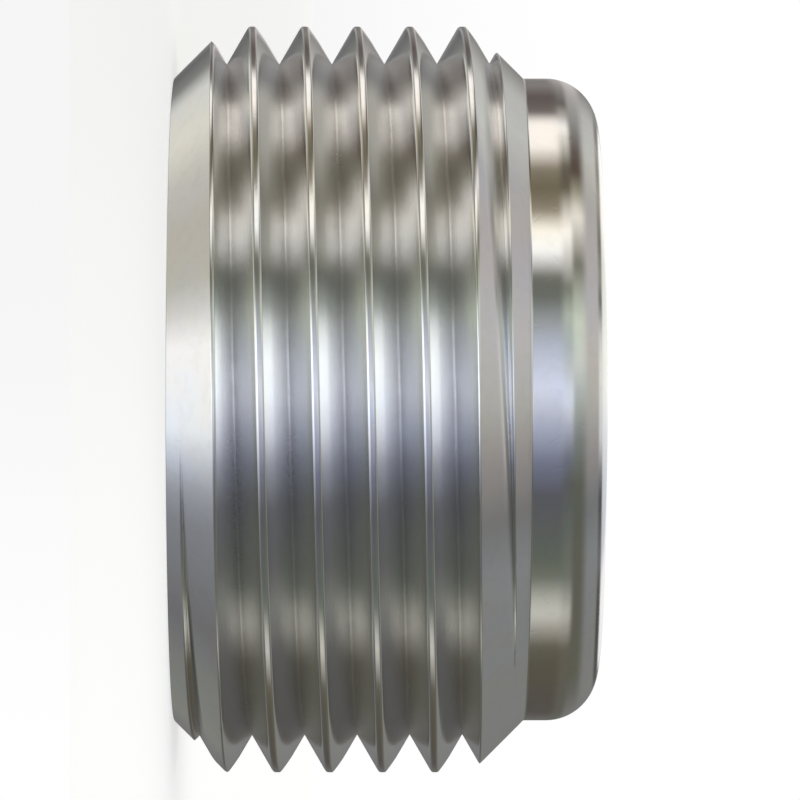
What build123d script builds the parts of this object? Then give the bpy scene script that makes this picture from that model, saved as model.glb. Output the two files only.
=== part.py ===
from build123d import *
from build123d.topology import SkipClean
from math import ceil, radians, tan
import os

# Reducing bushing for threaded conduit: one piece, turned from steel bar and threaded outside and in.
# It stands on its entry end, where the smaller conduit screws in. Z is the axis, and z = 0 is that face.
# The plain collar at the top goes first into the larger hub, and its rounded throat guards the wires.
# All sizes are in millimetres.

# Outer thread: straight, right-hand, 60 degree V with flat crests, 14 turns to the inch, cut over
# a blank that is chamfered at both ends
thread_diameter = 25.8
thread_length = 12.04
thread_pitch = 1.8143
thread_angle = 60
crest_flat = 0.3
# Height of the V's root above the entry face on the +X side
thread_start = 0.885
chamfer_angle = 45
# How far inside the thread's root the entry face and the collar stay, so that both pass the mating thread
entry_clearance = 0.48
collar_clearance = 0.48

# Plain collar beyond the outer thread
collar_length = 2.54
collar_edge_radius = 1.75

# Bore for the smaller conduit, as wide as the crests of its thread: countersunk at the entry face,
# and undercut below the stop that the conduit meets. The wall is thinnest between the undercut and
# the outer thread's root
undercut_wall = 0.868
undercut_depth = 1.47
undercut_width = 1.9
entry_land = 0.3

# Smooth throat from the stop to the collar's end, where a flat ring is left between two rounded edges
throat_length = 3.34
stop_width = 1.35
stop_edge_break = 0.4
end_ring_width = 0.35

# The blank is revolved in equal sectors, so that each crest face is a short patch of true cylinder
sectors = 12

flank_slope = tan(radians(thread_angle / 2))
chamfer_slope = tan(radians(chamfer_angle))
crest_radius = thread_diameter / 2
root_radius = crest_radius - (thread_pitch - crest_flat) / 2 / flank_slope
entry_radius = root_radius - entry_clearance
collar_radius = root_radius - collar_clearance
mouth_radius = entry_radius - entry_land
undercut_radius = root_radius - undercut_wall
bore_radius = undercut_radius - undercut_depth
throat_radius = bore_radius - stop_width
lip_radius = collar_radius - collar_edge_radius - end_ring_width - throat_radius
overall_length = thread_length + collar_length
bore_depth = overall_length - throat_length


def corner(section, radius, height):
    """The section's corner at this radius and height."""
    return section.vertices().sort_by_distance((radius, 0, height))[0]


def turned_section():
    """Half section of the blank, as the lathe leaves it before the thread is cut."""
    outline = Plane.XZ * Polyline(
        (mouth_radius, 0),
        (entry_radius, 0),
        (crest_radius, (crest_radius - entry_radius) * chamfer_slope),
        (crest_radius, thread_length - (crest_radius - collar_radius) * chamfer_slope),
        (collar_radius, thread_length),
        (collar_radius, overall_length),
        (throat_radius, overall_length),
        (throat_radius, bore_depth),
        (undercut_radius, bore_depth),
        (undercut_radius, bore_depth - undercut_width),
        (bore_radius, bore_depth - undercut_width),
        (bore_radius, mouth_radius - bore_radius),
        close=True,
    )
    section = make_face(outline)
    section = fillet(corner(section, collar_radius, overall_length), collar_edge_radius)
    section = fillet(corner(section, throat_radius, overall_length), lip_radius)
    return chamfer(corner(section, throat_radius, bore_depth), stop_edge_break)


def turned_blank():
    """The half section revolved, one sector beside another, with no joint at +X, where the cutters meet."""
    arc = 360 / sectors
    sector = revolve(turned_section(), Axis.Z, revolution_arc=arc)
    first, *others = [Rot(0, 0, (k + 0.4) * arc) * sector for k in range(sectors)]
    return first.fuse(*others)


def groove_turns():
    """Cutters for the thread's V, one for each turn, end to end from below the entry face.

    The V's flanks run on past the crests until half of the crest flat is left between turns.
    """
    mouth = crest_radius + crest_flat / 4 / flank_slope
    half_mouth = (thread_pitch - crest_flat / 2) / 2
    vee = Plane.XZ * Polyline(
        (root_radius, 0), (mouth, half_mouth), (mouth, -half_mouth), close=True
    )
    path = Helix(pitch=thread_pitch, height=thread_pitch, radius=root_radius)
    turn = sweep(make_face(vee), path=path, is_frenet=True, clean=False)
    first = thread_start - thread_pitch
    turns = ceil((thread_length - first) / thread_pitch)
    return [Pos(0, 0, first + k * thread_pitch) * turn for k in range(turns)]


# Merging faces that lie on one cylinder would undo the sectors, so no clean-up follows these steps
with SkipClean():
    bushing = turned_blank().cut(*groove_turns())

os.makedirs("parts", exist_ok=True)
export_step(bushing, "parts/bushing.step")
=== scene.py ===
import math

import bmesh
import bpy
import numpy as np
from mathutils import Matrix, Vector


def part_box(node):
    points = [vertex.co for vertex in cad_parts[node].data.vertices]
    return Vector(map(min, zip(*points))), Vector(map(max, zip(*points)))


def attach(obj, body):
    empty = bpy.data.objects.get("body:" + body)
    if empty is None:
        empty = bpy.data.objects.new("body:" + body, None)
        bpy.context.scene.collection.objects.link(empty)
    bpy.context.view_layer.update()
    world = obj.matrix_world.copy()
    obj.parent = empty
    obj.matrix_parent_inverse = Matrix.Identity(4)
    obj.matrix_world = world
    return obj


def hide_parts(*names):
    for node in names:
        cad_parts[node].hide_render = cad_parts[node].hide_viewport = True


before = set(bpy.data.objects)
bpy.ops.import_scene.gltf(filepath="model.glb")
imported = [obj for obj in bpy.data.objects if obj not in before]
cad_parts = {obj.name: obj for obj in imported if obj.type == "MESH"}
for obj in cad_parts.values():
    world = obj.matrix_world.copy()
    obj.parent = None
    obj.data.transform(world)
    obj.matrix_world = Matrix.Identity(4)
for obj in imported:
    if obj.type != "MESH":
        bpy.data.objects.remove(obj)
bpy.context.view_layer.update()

# ---- Camera: beside the bushing and within half a degree of square to its axis. It is turned on its
# ---- side, so that the axis lies level in the view and the collar points to the right.
entry_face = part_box("bushing")[0].z
view_centre = entry_face + 0.007235
# How far from the axis it stands, and how wide the view is there
view_distance = 0.208
view_width = 0.02773
off_square = math.radians(0.4)

camera_data = bpy.data.cameras.new("camera")
camera_data.lens = camera_data.sensor_width * view_distance / view_width
camera_data.shift_x = 0.0203
camera_data.shift_y = -0.0008
camera_data.clip_start = 0.005
camera_data.clip_end = 10
camera = bpy.data.objects.new("camera", camera_data)
camera.matrix_world = Matrix.Translation((0, 0, view_centre)) @ Matrix((
    (0, -1, 0, 0),
    (-math.sin(off_square), 0, -math.cos(off_square), -math.cos(off_square) * view_distance),
    (math.cos(off_square), 0, -math.sin(off_square), -math.sin(off_square) * view_distance),
    (0, 0, 0, 1),
))
bpy.context.scene.collection.objects.link(camera)
bpy.context.scene.camera = camera

# ---- Bushing: one piece turned from steel bar, with a coarse thread cut outside and a smaller one of
# ---- the same pitch inside, then plated with bright zinc. Millimetres until it becomes a mesh.
pitch = 1.8143
# A flank of the 60 degree V rises this much for each 1 along the axis
flank = math.tan(math.radians(60))
thread_depth = 1.3114
bore_root_flat = 0.07
collar_length = 2.54
end_clearance = 0.48
entry_land = 0.3
undercut_wall = 0.868
undercut_depth = 1.47
undercut_width = 1.9
stop_width = 1.35
stop_edge = 0.4
throat_length = 3.34
collar_edge_radius = 1.75
end_ring_width = 0.35

# Radii, from the outside in
crest = round(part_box("bushing")[1].x * 1000, 3)
root = crest - thread_depth
entry = root - end_clearance
collar = root - end_clearance
mouth = entry - entry_land
undercut = root - undercut_wall
bore_root = 10.622
bore_crest = undercut - undercut_depth
throat = bore_crest - stop_width
lip_radius = collar - collar_edge_radius - end_ring_width - throat

# Heights above the entry face. The two starts are where a thread's root passes the +X side
overall = round(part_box("bushing")[1].z * 1000, 3)
thread_end = overall - collar_length
stop = overall - throat_length
undercut_start = stop - undercut_width
root_start = 0.885
bore_start = 1.2185

# How softly edges are eased, and the line to which the crest's edge towards the collar is worn
edge_ease = 0.1
root_ease = 0.02
bore_root_ease = 0.08
worn_start = 0.067
worn_slope = 1.3
worn_ease = 0.05
# An edge is wholly rubbed where it has lost this much
full_rub = 0.03

# Columns of points round the axis
columns = 240


def eased_min(a, b, reach):
    """The lower of a and b, less a quarter of (reach - |a - b|) squared over reach where they are close."""
    near = np.maximum(reach - np.abs(a - b), 0)
    return np.minimum(a, b) - near**2 / reach / 4


def eased_max(a, b, reach):
    """The higher of a and b, eased in the same way."""
    return -eased_min(-a, -b, reach)


def past_root(angle, z, start):
    """Distance along the axis past the last turn of a root that climbs one pitch in each turn."""
    return (z - start - pitch * angle / (2 * np.pi)) % pitch


def outside_surface(angle, z):
    """Threaded outside: the chamfered blank, cut to a flank that rises past the last root and to one that
    falls to the next. The edge towards the collar is worn to a line that falls less steeply, and the root
    is filled a little. With radius and height come how deep in a groove the place is and how far its edge
    is rubbed, each 0 to 1."""
    blank = eased_min(eased_min(crest, entry + z, edge_ease), collar + thread_end - z, edge_ease)
    past = past_root(angle, z, root_start)
    rising, falling = root + flank * past, root + flank * (pitch - past)
    worn = crest + worn_slope * (worn_start + pitch / 2 - past)
    flat = eased_min(eased_min(blank, rising, edge_ease), worn, worn_ease)
    cut = eased_min(flat, falling, edge_ease)
    radius = eased_max(cut, np.minimum(root, blank), root_ease)
    deep = np.clip((blank - radius) / thread_depth, 0, 1)
    sharp = np.minimum(blank, np.minimum(rising, falling))
    rubbed = np.clip((sharp - radius) / full_rub, 0, 1)
    return np.stack([radius, z, deep, rubbed], axis=2)


def bore_surface(angle, z):
    """Threaded bore: the wider of the countersunk blank and a V that falls away from its flat root, with
    the same depth and rub beside it."""
    blank = eased_max(bore_crest, mouth - z, edge_ease)
    past = past_root(angle, z, bore_start)
    off_flat = np.minimum(past, pitch - past) - bore_root_flat / 2
    vee = eased_min(bore_root, bore_root - flank * off_flat, bore_root_ease)
    radius = eased_max(blank, vee, edge_ease)
    deep = np.clip((radius - blank) / (bore_root - bore_crest), 0, 1)
    rubbed = np.clip((radius - np.maximum(blank, vee)) / full_rub, 0, 1)
    return np.stack([radius, z, deep, rubbed], axis=2)


def around(heights, offsets):
    """Each height with the offsets added, as columns side by side."""
    return (heights[..., None] + np.array(offsets)).reshape(len(heights), -1)


def outside_heights(angle):
    """Heights of each column of points, in order from the entry face up: each turn's root, the two places
    where its flanks cross the crest or a chamfer, both chamfers' corners, and points beside them all.

    A flank leaves the root at its own slope, so it meets the crest at the depth over that slope, and a
    chamfer at the gap between them over the sum or difference of their slopes. The nearest one counts.
    """
    turns = np.arange(-2, 7)
    roots = root_start + pitch * (angle[:, None] / (2 * np.pi) + turns)
    below = np.maximum.reduce([
        roots - thread_depth / flank,
        (root - entry + flank * roots) / (flank + 1),
        (root - collar - thread_end + flank * roots) / (flank - 1),
    ])
    above = np.minimum.reduce([
        roots + thread_depth / flank,
        (entry - root + flank * roots) / (flank - 1),
        (collar + thread_end - root + flank * roots) / (flank + 1),
    ])
    corners = np.repeat([[crest - entry, thread_end - crest + collar]], len(angle), axis=0)
    heights = np.concatenate([
        around(np.minimum(below, roots), (-0.12, -0.08, -0.04, 0.1, 0.2, 0.25, 0.3)),
        around(roots, (-0.03, -0.008, 0.008, 0.03)),
        around(np.maximum(above, roots), (-0.06, -0.03, -0.01, 0.01, 0.03, 0.06)),
        around(corners, (-0.08, -0.04, -0.015, 0.015, 0.04, 0.08)),
    ], axis=1)
    lowest, highest = 0.05, thread_end - 0.1
    return np.sort(np.clip(heights, lowest, highest), axis=1)


def bore_heights(angle):
    """Heights of each column inside, in order from the undercut down: the same for the bore's V, the
    countersink's corner and the bore's end in the undercut."""
    turns = np.arange(-2, 6)
    roots = bore_start + pitch * (angle[:, None] / (2 * np.pi) + turns)
    flat_start, flat_end = roots - bore_root_flat / 2, roots + bore_root_flat / 2
    below = np.maximum(
        flat_start - (bore_root - bore_crest) / flank,
        (mouth - bore_root + flank * flat_start) / (flank + 1),
    )
    above = np.minimum(
        flat_end + (bore_root - bore_crest) / flank,
        (bore_root - mouth + flank * flat_end) / (flank - 1),
    )
    corners = np.repeat([[mouth - bore_crest, undercut_start]], len(angle), axis=0)
    heights = np.concatenate([
        around(np.minimum(below, flat_start), (-0.05, -0.02, 0.02, 0.05)),
        around(roots, (-0.06, -0.02, 0.02, 0.06)),
        around(np.maximum(above, flat_end), (-0.05, -0.02, 0.02, 0.05)),
        around(corners, (-0.06, -0.02, 0.02, 0.06)),
    ], axis=1)
    lowest = 0.05
    return np.sort(np.clip(heights, lowest, undercut_start), axis=1)[:, ::-1]


def eased_corners(corners):
    """A line of radius and height past these corners, each given with its arc's radius and steps. Every
    inner corner is replaced by an arc that touches both sides; the two ends only give their direction.

    An arc starts its radius times the tangent of half its turn before the corner. A point just before
    it and just after it keeps the sides beside it straight.
    """
    places = np.array([corner[:2] for corner in corners])
    line = []
    for before, at, after, (_, _, radius, steps) in zip(places, places[1:], places[2:], corners[1:]):
        way_in = (at - before) / np.linalg.norm(at - before)
        way_out = (after - at) / np.linalg.norm(after - at)
        turn = np.arctan2(way_in[0] * way_out[1] - way_in[1] * way_out[0], way_in @ way_out)
        reach = radius * np.tan(abs(turn) / 2)
        side = np.sign(turn) * np.array([-way_in[1], way_in[0]])
        part = np.linspace(0, abs(turn), steps + 1)[:, None]
        arc = at - reach * way_in + radius * (side * (1 - np.cos(part)) + way_in * np.sin(part))
        spare = min(0.03, radius / 3)
        line += [[at - (reach + spare) * way_in], arc, [at + (reach + spare) * way_out]]
    return np.concatenate(line)


def same_all_round(line):
    """The same points of radius and height in every column, out of the thread and not rubbed."""
    return np.repeat(np.pad(line, ((0, 0), (0, 2)))[None], columns + 1, axis=0)


angle = np.linspace(0, 2 * np.pi, columns + 1)
outside = outside_surface(angle[:, None], outside_heights(angle))
bore = bore_surface(angle[:, None], bore_heights(angle))
over_collar = eased_corners([
    (collar + 1, thread_end - 1, 0, 0),
    (collar, thread_end, 0.12, 4),
    (collar, overall, collar_edge_radius, 18),
    (throat, overall, lip_radius, 18),
    (throat, stop + stop_edge, 0.08, 3),
    (throat + stop_edge, stop, 0.08, 3),
    (undercut, stop, 0.12, 4),
    (undercut, undercut_start, 0.05, 4),
    (bore_crest, undercut_start, 0, 0),
])
# The wall under the undercut ends at the bore's edge, which winds in and out with its thread. Its
# outer ring stays clear of the undercut's eased corner
wall = bore[:, :1] + np.array([[0.05, 0, 0, 0], [0.015, 0, 0, 0]])
wall[:, 0, 0] = np.minimum(wall[:, 0, 0], bore_root + 0.02)
over_rim = eased_corners([
    (mouth - 1, 1, 0, 0), (mouth, 0, 0.06, 4), (entry, 0, 0.06, 4), (entry + 1, 1, 0, 0),
])
surface = np.concatenate([
    outside, same_all_round(over_collar), wall, bore, same_all_round(over_rim),
], axis=1)
radius, height, groove_depth, rubbed_edge = np.moveaxis(surface, 2, 0)
points = np.stack([
    radius * np.cos(angle)[:, None], radius * np.sin(angle)[:, None], height,
], axis=2) / 1000
rows = points.shape[1]
# Four-sided faces between each column and the next, closed from the last row back to the first
here = np.arange(columns)[:, None] * rows + np.arange(rows)
onward = np.arange(columns)[:, None] * rows + np.roll(np.arange(rows), -1)
faces = np.stack([here, here + rows, onward + rows, onward], axis=2).reshape(-1, 4)

bushing_mesh = bpy.data.meshes.new("turned_bushing")
bushing_mesh.from_pydata(points.reshape(-1, 3), [], faces)
for name, values in (("groove_depth", groove_depth), ("rubbed_edge", rubbed_edge)):
    bushing_mesh.attributes.new(name, "FLOAT", "POINT").data.foreach_set("value", values.ravel())
# The last column lies on the first, and rows run together where the thread fades out. The distances
# are in metres
merged = bmesh.new()
merged.from_mesh(bushing_mesh)
bmesh.ops.remove_doubles(merged, verts=merged.verts, dist=2e-6)
bmesh.ops.dissolve_degenerate(merged, edges=merged.edges, dist=1e-7)
bmesh.ops.recalc_face_normals(merged, faces=merged.faces)
merged.to_mesh(bushing_mesh)
merged.free()
bushing_mesh.shade_smooth()
bushing = bpy.data.objects.new("turned_bushing", bushing_mesh)
bpy.context.scene.collection.objects.link(bushing)


def placed(tree, kind, inputs, **settings):
    """A new node of this kind. Its settings are made, and each input takes a value or another's output."""
    node = tree.nodes.new(kind)
    for name, value in settings.items():
        setattr(node, name, value)
    for socket, value in inputs.items():
        if isinstance(value, bpy.types.NodeSocket):
            tree.links.new(value, node.inputs[socket])
        else:
            node.inputs[socket].default_value = value
    return node


def reckoned(tree, operation, *values):
    """The output of a Math node."""
    return placed(tree, "ShaderNodeMath", dict(enumerate(values)), operation=operation).outputs[0]


def eased_step(tree, value, low, high):
    """0 up to the low value and 1 from the high one on, with a soft change between them. Where the low
    value is the larger one, it is 1 below the high value and 0 above the low one."""
    return placed(
        tree, "ShaderNodeMapRange", {0: value, 1: low, 2: high}, interpolation_type="SMOOTHSTEP"
    ).outputs[0]


def laid_over(tree, share, under, over):
    """One colour laid over another in this share."""
    return placed(tree, "ShaderNodeMix", {0: share, 6: under, 7: over}, data_type="RGBA").outputs[2]


def uneven_surface():
    """What no real surface is without, in slow soft patches and in a fine grain, at the scales given."""
    group = bpy.data.node_groups.new("uneven_surface", "ShaderNodeTree")
    for name, way, kind in (
        ("Place", "INPUT", "NodeSocketVector"), ("Patch Scale", "INPUT", "NodeSocketFloat"),
        ("Grain Scale", "INPUT", "NodeSocketFloat"), ("Patches", "OUTPUT", "NodeSocketFloat"),
        ("Grain", "OUTPUT", "NodeSocketFloat"),
    ):
        group.interface.new_socket(name, in_out=way, socket_type=kind)
    given = group.nodes.new("NodeGroupInput")
    made = group.nodes.new("NodeGroupOutput")
    for name, scale, detail in (("Patches", "Patch Scale", 5.0), ("Grain", "Grain Scale", 3.0)):
        noise = placed(group, "ShaderNodeTexNoise", {
            "Vector": given.outputs["Place"], "Scale": given.outputs[scale],
            "Detail": detail, "Roughness": 0.6,
        })
        group.links.new(noise.outputs[0], made.inputs[name])
    return group


def tool_lines(tree, radius, height, across, ahead):
    """Lines round the axis: noise that changes fast along it and outwards, and slowly with the bearing."""
    changes_per_metre = 11000.0
    changes_round = 3.0
    place = placed(tree, "ShaderNodeCombineXYZ", {
        0: reckoned(tree, "MULTIPLY", radius, changes_per_metre),
        1: reckoned(tree, "MULTIPLY", height, changes_per_metre),
        2: reckoned(tree, "MULTIPLY", across, changes_round),
    }).outputs[0]
    return placed(tree, "ShaderNodeTexNoise", {
        "Vector": place, "W": reckoned(tree, "MULTIPLY", ahead, changes_round),
        "Scale": 1.0, "Detail": 3.0, "Roughness": 0.6,
    }, noise_dimensions="4D").outputs[0]


def hairlines(tree, place, mottle):
    """Fine scratches from handling: the edges between cells, where the grain lets them through."""
    cells = placed(tree, "ShaderNodeTexVoronoi", {
        "Vector": place, "Scale": 420.0,
    }, feature="DISTANCE_TO_EDGE").outputs[0]
    thin = eased_step(tree, cells, 0.012, 0.004)
    return reckoned(tree, "MULTIPLY", thin, eased_step(tree, mottle, 0.52, 0.6))


def root_deposit(tree, depth, cloud, mottle):
    """Duller plating in the lowest part of the grooves, in patches."""
    patches = reckoned(tree, "ADD", cloud, reckoned(tree, "MULTIPLY", mottle, 0.3))
    return reckoned(
        tree, "MULTIPLY", eased_step(tree, depth, 0.6, 1.0), eased_step(tree, patches, 0.2, 1.1)
    )


def plate_colour(tree, cloud, mottle, depth, deposit, rubbed):
    """A bluish and a yellowish grey in clouds, with a speckle. Grooves are paler as painted light, which
    offsets the shade of their repeated reflections; the deposit is darker, and rubbed edges are bright."""
    tint = laid_over(tree, eased_step(tree, cloud, 0.35, 0.65), (0.7, 0.71, 0.73, 1), (0.73, 0.71, 0.67, 1))
    speckle = reckoned(tree, "MULTIPLY", eased_step(tree, mottle, 0.45, 0.7), 0.12)
    speckled = laid_over(tree, speckle, tint, (0.55, 0.54, 0.52, 1))
    # Painted light: the grooves are made paler to offset the shade that their repeated reflections give
    groove_painted_light = laid_over(tree, eased_step(tree, depth, 0.05, 0.3), speckled, (0.81, 0.81, 0.81, 1))
    dulled = laid_over(tree, reckoned(tree, "MULTIPLY", deposit, 0.4), groove_painted_light, (0.4, 0.38, 0.35, 1))
    return laid_over(tree, reckoned(tree, "MULTIPLY", rubbed, 0.5), dulled, (0.8, 0.8, 0.79, 1))


def plate_roughness(tree, cloud, mottle, threaded, deposit, rubbed):
    """Rougher in the thread, in some clouds and grains and most in the deposit; smoother where rubbed."""
    cut = reckoned(tree, "MULTIPLY_ADD", threaded, 0.06, 0.07)
    clouded = reckoned(tree, "MULTIPLY_ADD", cloud, 0.08, cut)
    grainy = reckoned(tree, "MULTIPLY_ADD", mottle, 0.04, clouded)
    dulled = reckoned(tree, "MULTIPLY_ADD", deposit, 0.1, grainy)
    return reckoned(tree, "MULTIPLY_ADD", rubbed, -0.03, dulled)


def zinc_plate():
    """Bright zinc over turned steel: fine tool lines round the axis, a faint cloudy tint, hairline
    scratches from handling, rubbed edges, and a duller deposit in the thread's roots."""
    zinc = bpy.data.materials.new("bright_zinc_plate")
    zinc.use_nodes = True
    tree = zinc.node_tree
    shader = tree.nodes["Principled BSDF"]
    shader.inputs["Metallic"].default_value = 1

    place = placed(tree, "ShaderNodeTexCoord", {}).outputs["Object"]
    x, y, height = placed(tree, "ShaderNodeSeparateXYZ", {0: place}).outputs
    level = placed(tree, "ShaderNodeCombineXYZ", {0: x, 1: y, 2: 0.0}).outputs[0]
    radius = placed(tree, "ShaderNodeVectorMath", {0: level}, operation="LENGTH").outputs["Value"]
    # The bearing round the axis, as its cosine and sine
    across = reckoned(tree, "DIVIDE", x, radius)
    ahead = reckoned(tree, "DIVIDE", y, radius)

    uneven = placed(tree, "ShaderNodeGroup", {
        "Place": place, "Patch Scale": 240.0, "Grain Scale": 2600.0,
    }, node_tree=unevenness)
    cloud, mottle = uneven.outputs["Patches"], uneven.outputs["Grain"]
    depth = placed(tree, "ShaderNodeAttribute", {}, attribute_name="groove_depth").outputs["Fac"]
    rubbed = placed(tree, "ShaderNodeAttribute", {}, attribute_name="rubbed_edge").outputs["Fac"]
    threaded = eased_step(tree, depth, 0.02, 0.2)
    deposit = root_deposit(tree, depth, cloud, mottle)

    colour = plate_colour(tree, cloud, mottle, depth, deposit, rubbed)
    tree.links.new(colour, shader.inputs["Base Color"])
    roughness = plate_roughness(tree, cloud, mottle, threaded, deposit, rubbed)
    tree.links.new(roughness, shader.inputs["Roughness"])

    # The threading tool's lines run round the axis, so the grooves blur what they show along it
    tree.links.new(reckoned(tree, "MULTIPLY_ADD", threaded, 0.6, 0.3), shader.inputs["Anisotropic"])
    shader.inputs["Anisotropic Rotation"].default_value = 0.25
    around_axis = placed(tree, "ShaderNodeCombineXYZ", {
        0: reckoned(tree, "MULTIPLY", ahead, -1.0), 1: across, 2: 0.0,
    }).outputs[0]
    tree.links.new(around_axis, shader.inputs["Tangent"])

    lines = tool_lines(tree, radius, height, across, ahead)
    bump = placed(tree, "ShaderNodeBump", {
        "Strength": 0.6, "Distance": 1.2e-6,
        "Height": reckoned(tree, "MULTIPLY_ADD", hairlines(tree, place, mottle), -0.8, lines),
    })
    tree.links.new(bump.outputs[0], shader.inputs["Normal"])
    return zinc


unevenness = uneven_surface()
bushing_mesh.materials.append(zinc_plate())
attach(bushing, "root")
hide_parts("bushing")

# ---- Floor: a sheet of matt white card that the bushing stands on. Its colour carries a painted glow,
# ---- which is dimmest on the -X side as a painted shade and palest far off.
near_edge = -0.0805
far_edge = 1
half_width = 1


def white_card():
    """Matt card, almost even, with faint blotches, a fine grain and a painted glow, dimmer on the -X side.
    """
    card = bpy.data.materials.new("matt_white_card")
    card.use_nodes = True
    tree = card.node_tree
    shader = tree.nodes["Principled BSDF"]
    shader.inputs["Roughness"].default_value = 0.9
    # The card's emission is a painted glow, not light from a lamp
    shader.inputs["Emission Strength"].default_value = 0.7

    place = placed(tree, "ShaderNodeTexCoord", {}).outputs["Object"]
    x, y, _ = placed(tree, "ShaderNodeSeparateXYZ", {0: place}).outputs
    uneven = placed(tree, "ShaderNodeGroup", {
        "Place": place, "Patch Scale": 60.0, "Grain Scale": 3000.0,
    }, node_tree=unevenness)
    blotched = eased_step(tree, uneven.outputs["Patches"], 0.3, 0.7)
    colour = laid_over(tree, blotched, (0.9, 0.9, 0.9, 1), (0.91, 0.91, 0.91, 1))
    tree.links.new(colour, shader.inputs["Base Color"])

    # Painted shade and glow: the emission is dimmest on the -X side and brightest far off
    painted_shade_sideways = eased_step(tree, x, -0.012, 0.012)
    across = laid_over(tree, painted_shade_sideways, (0.68, 0.68, 0.68, 1), (0.832, 0.832, 0.832, 1))
    painted_glow = laid_over(tree, eased_step(tree, y, 0.0, 2.2), across, (0.85, 0.85, 0.85, 1))
    tree.links.new(painted_glow, shader.inputs["Emission Color"])

    bump = placed(tree, "ShaderNodeBump", {
        "Strength": 0.3, "Distance": 2e-5, "Height": uneven.outputs["Grain"],
    })
    tree.links.new(bump.outputs[0], shader.inputs["Normal"])
    return card


sheet_mesh = bpy.data.meshes.new("floor")
sheet_mesh.from_pydata([
    (-half_width, near_edge, 0), (half_width, near_edge, 0),
    (half_width, far_edge, 0), (-half_width, far_edge, 0),
], [], [(0, 1, 2, 3)])
sheet_mesh.materials.append(white_card())
floor = bpy.data.objects.new("floor", sheet_mesh)
# The plating mirrors the studio's panels, not the card
floor.visible_glossy = False
bpy.context.scene.collection.objects.link(floor)

# ---- Light: a studio of soft panels with dark gaps between them, which bright plating needs to show
# ---- its form. A direction is told by the place on the bushing that mirrors it to the front, -Y: how
# ---- far round that place is turned, and how far it leans to one end.
world = bpy.data.worlds.new("studio")
world.use_nodes = True
bpy.context.scene.world = world
tree = world.node_tree
tree.nodes.clear()
way = placed(tree, "ShaderNodeTexCoord", {}).outputs["Generated"]
x, y, along_axis = placed(tree, "ShaderNodeSeparateXYZ", {0: way}).outputs
# A mirror's normal lies halfway between what it shows and where it sends it, so it is their sum
upwards = reckoned(tree, "MULTIPLY", x, -1.0)
frontwards = reckoned(tree, "SUBTRACT", 1.0, y)
level_part = placed(tree, "ShaderNodeVectorMath", {
    0: placed(tree, "ShaderNodeCombineXYZ", {0: upwards, 1: frontwards}).outputs[0],
}, operation="LENGTH").outputs["Value"]
bearing = reckoned(tree, "ARCTAN2", upwards, frontwards)
turn_place = reckoned(tree, "MULTIPLY_ADD", bearing, 1 / math.pi, 0.5)
lean = reckoned(
    tree, "DIVIDE", reckoned(tree, "ABSOLUTE", along_axis), reckoned(tree, "MAXIMUM", level_part, 0.001)
)


def graded(stops):
    """Colours at these turns in degrees, from -90 at the bushing's lower side in the view, over 0 at the
    front, to 90 at its upper side. One value stands for a grey. A ramp holds no more than 1, so they go in
    halved, and the light's strength doubles them."""
    node = placed(tree, "ShaderNodeValToRGB", {0: turn_place})
    ramp = node.color_ramp
    ramp.elements.remove(ramp.elements[1])
    for index, (turn, *colour) in enumerate(stops):
        place = turn / 180 + 0.5
        stop = ramp.elements[0] if index == 0 else ramp.elements.new(place)
        stop.position = place
        red, green, blue = colour if len(colour) == 3 else colour * 3
        stop.color = (red / 2, green / 2, blue / 2, 1)
    return node.outputs[0]


# With no lean: what the crests, the roots and the collar's side show
level = graded([
    (-90, 0.2, 0.2, 0.19), (-82, 0.16, 0.15, 0.14), (-75, 0.11, 0.1, 0.09), (-54, 0.13, 0.12, 0.09),
    (-49, 0.16, 0.15, 0.11), (-45, 0.42, 0.4, 0.35), (-41, 0.75, 0.73, 0.65), (-38, 0.6, 0.6, 0.53),
    (-33, 0.2, 0.22, 0.18), (-29, 0.15, 0.17, 0.14), (-17, 0.13, 0.13, 0.15), (-11, 0.22, 0.24, 0.34),
    (-5, 0.5, 0.55, 0.74), (2, 0.93, 0.98, 1.18), (8, 0.7, 0.74, 0.88), (14, 0.42, 0.44, 0.43),
    (18, 0.19, 0.2, 0.17), (22, 0.18, 0.18, 0.15), (27, 1.42, 1.4, 1.34), (31, 1.42, 1.37, 1.23),
    (35, 0.35, 0.3, 0.23), (40, 0.19, 0.17, 0.11), (45, 0.3, 0.26, 0.19), (51, 1.4, 1.3, 1.2),
    (58, 1.4, 1.3, 1.18), (62, 0.2, 0.17, 0.15), (69, 0.15, 0.12, 0.11), (76, 0.27, 0.25, 0.23),
    (82, 0.22, 0.21, 0.2), (90, 0.2, 0.2, 0.19),
])
# Leaning towards the collar's end, a little and then more: where edges begin to curve over
collar_slight = graded([
    (-75, 0.14, 0.14, 0.12), (-50, 0.16, 0.15, 0.12), (-41, 0.62, 0.61, 0.55), (-33, 0.2, 0.22, 0.18),
    (-15, 0.13, 0.14, 0.13), (-10, 0.2, 0.22, 0.28), (-5, 0.52, 0.56, 0.7), (0, 0.97, 1.03, 1.16),
    (5, 0.72, 0.77, 0.83), (10, 0.56, 0.62, 0.6), (15, 0.58, 0.64, 0.52), (20, 0.22, 0.23, 0.18),
    (26, 0.85, 0.83, 0.78), (31, 1.45, 1.4, 1.3), (36, 0.7, 0.66, 0.6), (40, 0.15, 0.13, 0.09),
    (46, 0.15, 0.13, 0.1), (51, 0.7, 0.68, 0.62), (57, 1.3, 1.24, 1.17), (61, 0.6, 0.56, 0.5),
    (66, 0.17, 0.15, 0.13), (80, 0.4, 0.38, 0.37),
])
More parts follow.
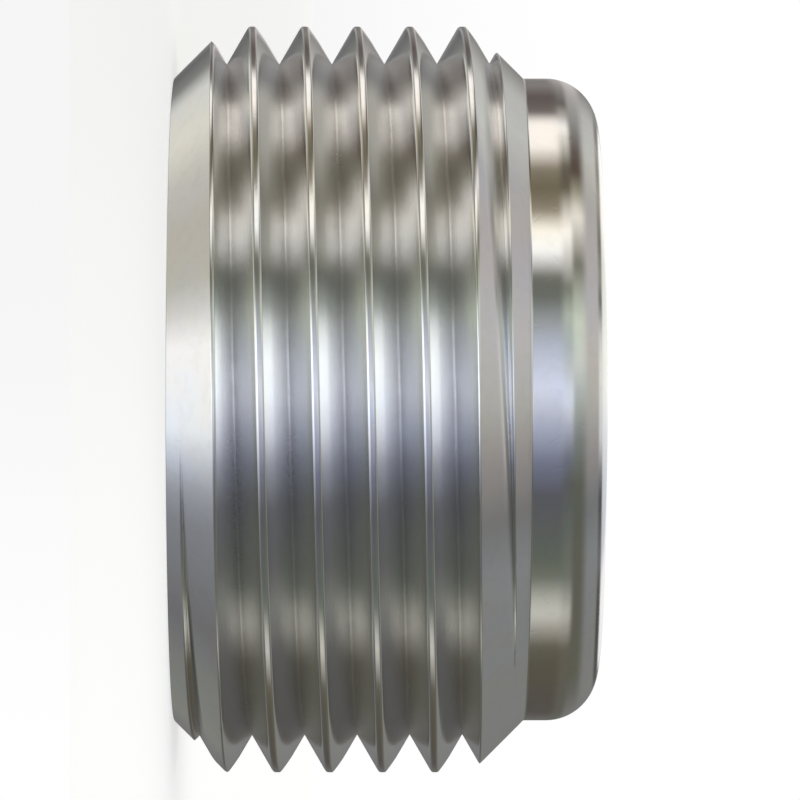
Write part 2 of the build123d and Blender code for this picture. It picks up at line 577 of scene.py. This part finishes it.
collar_more = graded([
    (-75, 0.2, 0.2, 0.19), (-60, 0.15, 0.15, 0.12), (-30, 0.15, 0.15, 0.12), (-15, 0.14, 0.15, 0.12),
    (-7, 0.25, 0.28, 0.28), (0, 0.52, 0.57, 0.55), (6, 0.77, 0.82, 0.79), (14, 0.8, 0.86, 0.7),
    (20, 0.48, 0.5, 0.4), (25, 0.2, 0.2, 0.17), (30, 0.65, 0.64, 0.58), (35, 1.15, 1.1, 1.02),
    (40, 0.42, 0.4, 0.32), (45, 0.1, 0.07, 0.05), (51, 0.16, 0.13, 0.12), (60, 0.36, 0.35, 0.32),
    (80, 0.6, 0.57, 0.56),
])
# At 45 degrees: the chamfer beside the collar
collar_end = graded([
    (-85, 0.2), (-70, 0.25, 0.25, 0.24), (-30, 0.29, 0.3, 0.3), (-20, 0.23, 0.23, 0.23),
    (-10, 0.37, 0.35, 0.35), (0, 0.57, 0.57, 0.54), (10, 0.66, 0.63, 0.61), (24, 0.58, 0.55, 0.56),
    (40, 0.54, 0.53, 0.53), (53, 0.69, 0.69, 0.65), (66, 0.6, 0.59, 0.56), (74, 0.4, 0.39, 0.37),
    (82, 0.26, 0.25, 0.24),
])
# At 60 degrees: the thread's flanks on that side
collar_steep = graded([
    (-90, 0.15), (-75, 0.1), (-50, 0.07, 0.07, 0.06), (-40, 0.11, 0.11, 0.09), (-35, 0.2), (-20, 0.08),
    (-14, 0.3), (-8, 0.8), (6, 1.0), (13, 0.8), (20, 0.15, 0.15, 0.12), (25, 0.4, 0.39, 0.35),
    (33, 0.2, 0.19, 0.16), (45, 0.44, 0.43, 0.38), (52, 0.3, 0.29, 0.25), (60, 0.44, 0.43, 0.4),
    (65, 0.25, 0.24, 0.22), (75, 0.3, 0.29, 0.27), (90, 0.2),
])
# Steeper still: the last of the collar's rounded edge
collar_face = graded([
    (-90, 0.2), (-80, 0.9), (-45, 1.15, 1.13, 1.16), (-39, 0.95, 0.93, 0.98), (-33, 0.76, 0.76, 0.8),
    (-18, 0.8, 0.82, 0.85), (-8, 0.96, 0.98, 1.0), (2, 1.12, 1.16, 1.12), (14, 1.13, 1.15, 1.1),
    (22, 1.02, 1.06, 0.96), (34, 1.02, 1.0, 0.95), (42, 1.24, 1.22, 1.2), (70, 1.2, 1.17, 1.15),
    (80, 0.9), (90, 0.2),
])
# Leaning towards the entry face: a little, at 45 degrees as its chamfer does, and as the flanks do
entry_slight = graded([
    (-90, 0.2), (-70, 0.12), (-45, 0.14), (-36, 0.27, 0.27, 0.25), (-28, 0.16), (-18, 0.16, 0.17, 0.19),
    (-11, 0.45, 0.48, 0.56), (-5, 1.2, 1.25, 1.4), (0, 1.65, 1.74, 1.83), (6, 1.73, 1.82, 1.84),
    (11, 1.28, 1.34, 1.33), (15, 0.45, 0.49, 0.45), (20, 0.15, 0.16, 0.13), (25, 0.45, 0.44, 0.38),
    (34, 0.28, 0.27, 0.22), (45, 0.55, 0.54, 0.48), (60, 0.52, 0.51, 0.46), (66, 0.3), (80, 0.4), (90, 0.2),
])
entry_end = graded([
    (-80, 0.2), (-70, 0.26, 0.27, 0.25), (-52, 0.25, 0.26, 0.25), (-40, 0.2, 0.2, 0.21),
    (-21, 0.28, 0.3, 0.35), (-15, 0.42, 0.45, 0.52), (-10, 0.75, 0.8, 0.9), (-5, 1.15, 1.2, 1.25),
    (9, 1.32, 1.3, 1.28), (15, 0.88, 0.85, 0.8), (20, 0.66, 0.64, 0.56), (30, 0.64, 0.61, 0.54),
    (40, 0.72, 0.69, 0.62), (50, 0.95, 0.93, 0.82), (62, 0.85, 0.84, 0.78), (69, 0.26, 0.26, 0.24),
    (78, 0.15),
])
entry_steep = graded([
    (-90, 0.15), (-75, 0.07), (-50, 0.06, 0.06, 0.05), (-40, 0.1, 0.1, 0.08), (-35, 0.19, 0.19, 0.17),
    (-20, 0.07), (-10, 0.13, 0.15, 0.18), (5, 0.5, 0.55, 0.6), (13, 0.32, 0.34, 0.32),
    (20, 0.17, 0.18, 0.15), (25, 0.36, 0.35, 0.3), (30, 0.52, 0.51, 0.45), (35, 0.42, 0.41, 0.35),
    (40, 0.25, 0.24, 0.2), (46, 0.3, 0.29, 0.25), (55, 0.13, 0.12, 0.1), (65, 0.23, 0.22, 0.2),
    (73, 0.13), (90, 0.25),
])


def along_leans(first, others):
    """The first colours, passing softly into each of the others between two tangents of the lean."""
    blend = first
    for start, end, colours in others:
        blend = laid_over(tree, eased_step(tree, lean, start, end), blend, colours)
    return blend


towards_collar = along_leans(level, [
    (0.07, 0.24, collar_slight), (0.3, 0.43, collar_more), (0.55, 0.85, collar_end),
    (1.35, 1.6, collar_steep), (1.88, 2.15, collar_face),
])
towards_entry = along_leans(level, [
    (0.1, 0.24, entry_slight), (0.62, 0.88, entry_end), (1.25, 1.5, entry_steep),
])
at_collar = reckoned(tree, "GREATER_THAN", along_axis, 0.0)
studio = laid_over(tree, at_collar, towards_entry, towards_collar)
light = placed(tree, "ShaderNodeBackground", {0: studio, 1: 2.0})
# The camera itself sees a plain white backdrop, a little greyer above the entry end
past_entry = eased_step(tree, along_axis, 0.04, -0.02)
shade = reckoned(tree, "MULTIPLY", past_entry, eased_step(tree, upwards, -0.066, 0.03))
white = laid_over(tree, shade, (1, 1, 1, 1), (0.92, 0.92, 0.92, 1))
backdrop = placed(tree, "ShaderNodeBackground", {0: white, 1: 1.0})
seen = placed(tree, "ShaderNodeLightPath", {}).outputs["Is Camera Ray"]
shown = placed(tree, "ShaderNodeMixShader", {0: seen, 1: light.outputs[0], 2: backdrop.outputs[0]})
placed(tree, "ShaderNodeOutputWorld", {0: shown.outputs[0]})

bpy.context.scene.view_settings.view_transform = "Standard"
